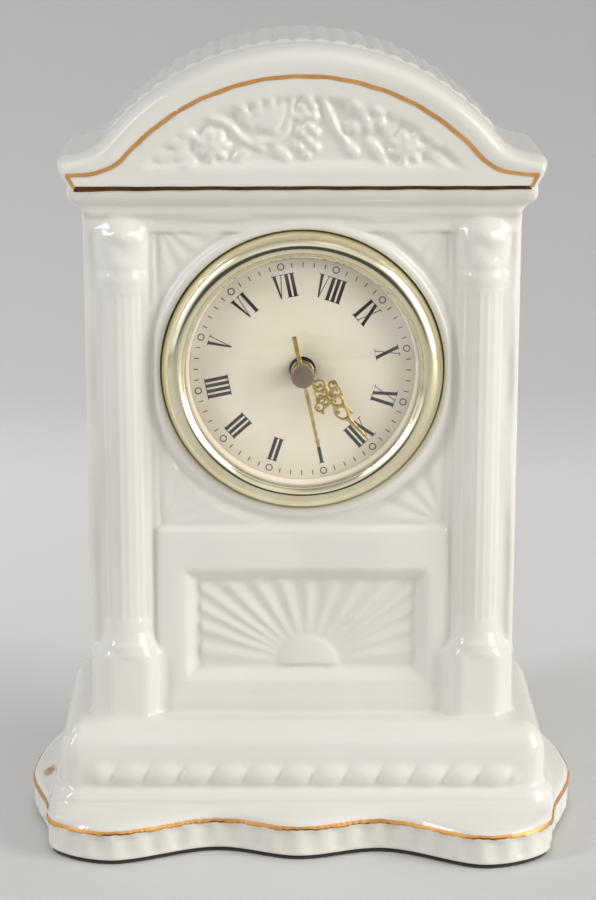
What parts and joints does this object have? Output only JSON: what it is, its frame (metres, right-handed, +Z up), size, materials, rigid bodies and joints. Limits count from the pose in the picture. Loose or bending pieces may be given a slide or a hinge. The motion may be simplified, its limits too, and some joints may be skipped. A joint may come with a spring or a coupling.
{
  "type": "desk clock",
  "caption": "Arched porcelain desk clock with two columns, a stepped serpentine foot and a round quartz insert that pulls out of the case and turns in it.",
  "frame": {"origin": "under the middle of the foot, on the surface the clock stands on", "axes": "+Z up, front towards -Y, +X to the right as seen from the front"},
  "size_m": [0.1478, 0.088, 0.2119],
  "materials": {
    "porcelain": "gloss glaze with gilt lines",
    "felt": "matt felt",
    "rubber": "ribbed rubber",
    "gold_metal": "polished pale gold plate",
    "clear_lens": "clear domed",
    "dial_card": "cream print",
    "black_plastic": "moulded",
    "hand_brass": "stamped and gilt",
    "wheel_plastic": "moulded",
    "magnet": "sintered",
    "motor_steel": "stamped",
    "copper_wire": "enamelled",
    "board": "solder mask",
    "plated_steel": "plated"
  },
  "bodies": {
    "case": {"porcelain_case": "porcelain", "felt_pad": "felt"},
    "grip": {"grip_ring": "rubber"},
    "insert": {"bezel": "gold_metal", "lens": "clear_lens", "movement_cup": "black_plastic", "rear_cover": "black_plastic", "cover_screw_1": "plated_steel", "cover_screw_2": "plated_steel", "cover_screw_3": "plated_steel", "train_bridge": "black_plastic", "bridge_screw_1": "plated_steel", "bridge_screw_2": "plated_steel", "bridge_screw_3": "plated_steel", "stator": "motor_steel", "coil_core": "motor_steel", "coil_winding": "copper_wire", "circuit_board": "board", "chip": "black_plastic", "quartz_crystal": "plated_steel", "button_cell": "plated_steel", "positive_contact": "plated_steel", "negative_contact": "plated_steel", "dial": "dial_card", "dial_ring": "gold_metal"},
    "hatch": {"battery_hatch": "black_plastic"},
    "knob": {"setting_knob": "black_plastic"},
    "seconds": {"seconds_wheel": "wheel_plastic", "seconds_hand": "hand_brass"},
    "third": {"third_wheel": "wheel_plastic"},
    "centre": {"centre_wheel": "wheel_plastic"},
    "intermediate": {"intermediate_wheel": "wheel_plastic"},
    "rotor": {"rotor": "magnet"},
    "minute": {"minute_arbor": "hand_brass", "minute_hand": "hand_brass"},
    "motion": {"minute_wheel": "wheel_plastic"},
    "hour": {"hour_wheel": "wheel_plastic", "hour_hand": "hand_brass"}
  },
  "joints": [
    {"name": "insert_pull", "type": "slide", "parent": "case", "child": "grip", "axis": [0, -1, 0], "range_m": [0, 0.045]},
    {"name": "insert_turn", "type": "hinge", "parent": "grip", "child": "insert", "pos_m": [0, -0.0135, 0.1265], "axis": [0, 1, 0], "continuous": true},
    {"name": "hatch_slide", "type": "slide", "parent": "insert", "child": "hatch", "axis": [0.6646, 0, -0.7472], "range_m": [0, 0.014]},
    {"name": "seconds_turn", "type": "hinge", "parent": "insert", "child": "seconds", "pos_m": [0, -0.0135, 0.1265], "axis": [0, 1, 0], "continuous": true},
    {"name": "third_turn", "type": "hinge", "parent": "insert", "child": "third", "pos_m": [0.00699, -0.0135, 0.12097], "axis": [0, 1, 0], "continuous": true},
    {"name": "centre_turn", "type": "hinge", "parent": "insert", "child": "centre", "pos_m": [0, -0.0135, 0.1265], "axis": [0, 1, 0], "continuous": true},
    {"name": "intermediate_turn", "type": "hinge", "parent": "insert", "child": "intermediate", "pos_m": [-0.00605, -0.0135, 0.11885], "axis": [0, 1, 0], "continuous": true},
    {"name": "rotor_turn", "type": "hinge", "parent": "insert", "child": "rotor", "pos_m": [-0.01233, -0.0135, 0.11636], "axis": [0, 1, 0], "continuous": true},
    {"name": "minute_turn", "type": "hinge", "parent": "insert", "child": "minute", "pos_m": [0, -0.0135, 0.1265], "axis": [0, 1, 0], "continuous": true},
    {"name": "motion_turn", "type": "hinge", "parent": "insert", "child": "motion", "pos_m": [-0.00074, -0.0135, 0.13286], "axis": [0, 1, 0], "continuous": true},
    {"name": "hour_turn", "type": "hinge", "parent": "insert", "child": "hour", "pos_m": [0, -0.0135, 0.1265], "axis": [0, 1, 0], "continuous": true},
    {"name": "knob_turn", "type": "hinge", "parent": "insert", "child": "knob", "pos_m": [-0.00148, -0.0135, 0.13921], "axis": [0, 1, 0], "continuous": true}
  ],
  "couplings": [
    {"joint": "third_turn", "follows": "seconds_turn", "ratio": -0.13333},
    {"joint": "centre_turn", "follows": "seconds_turn", "ratio": 0.016667},
    {"joint": "intermediate_turn", "follows": "seconds_turn", "ratio": -4},
    {"joint": "rotor_turn", "follows": "seconds_turn", "ratio": 30},
    {"joint": "motion_turn", "follows": "minute_turn", "ratio": -0.33333},
    {"joint": "hour_turn", "follows": "minute_turn", "ratio": 0.083333},
    {"joint": "knob_turn", "follows": "minute_turn", "ratio": 1}
  ]
}
